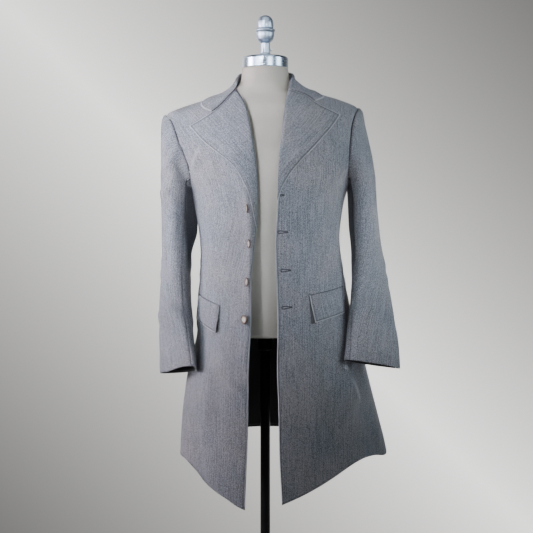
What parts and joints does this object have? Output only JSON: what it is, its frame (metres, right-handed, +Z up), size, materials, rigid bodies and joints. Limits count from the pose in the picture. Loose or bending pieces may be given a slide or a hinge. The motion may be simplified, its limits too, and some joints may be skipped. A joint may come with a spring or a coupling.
{
  "type": "frock coat on dress form",
  "caption": "Long single-breasted frock coat with notched lapels and flap pockets, worn open on a limbless dress form with a metal neck cap, finial, pole and round base.",
  "frame": {"origin": "centre of the base's underside, on the floor", "axes": "+Z up, -Y towards the wearer's front, +X towards the wearer's left"},
  "size_m": [0.5945, 0.3992, 1.678],
  "materials": {
    "suit_cloth": "fine twill wool, matt",
    "black_lining": "smooth satin lining",
    "horn": "polished pale horn",
    "form_cover": "tight cotton jersey",
    "steel": "brushed",
    "black_metal": "black satin"
  },
  "bodies": {
    "root": {"front_right": "suit_cloth", "front_left": "suit_cloth", "back_right": "suit_cloth", "back_left": "suit_cloth", "top_sleeve_right": "suit_cloth", "top_sleeve_left": "suit_cloth", "under_sleeve_right": "suit_cloth", "under_sleeve_left": "suit_cloth", "lapel_right": "suit_cloth", "lapel_left": "suit_cloth", "pocket_flap_right": "suit_cloth", "pocket_flap_left": "suit_cloth", "collar": "suit_cloth", "collar_stand": "suit_cloth", "cuff_lining_right": "black_lining", "cuff_lining_left": "black_lining", "back_lining": "black_lining", "button_1": "horn", "button_2": "horn", "button_3": "horn", "button_4": "horn", "form_torso": "form_cover", "neck_cap": "steel", "finial_stem": "steel", "finial_cup": "steel", "finial_dome": "steel", "pole": "black_metal", "base": "black_metal"}
  },
  "joints": []
}
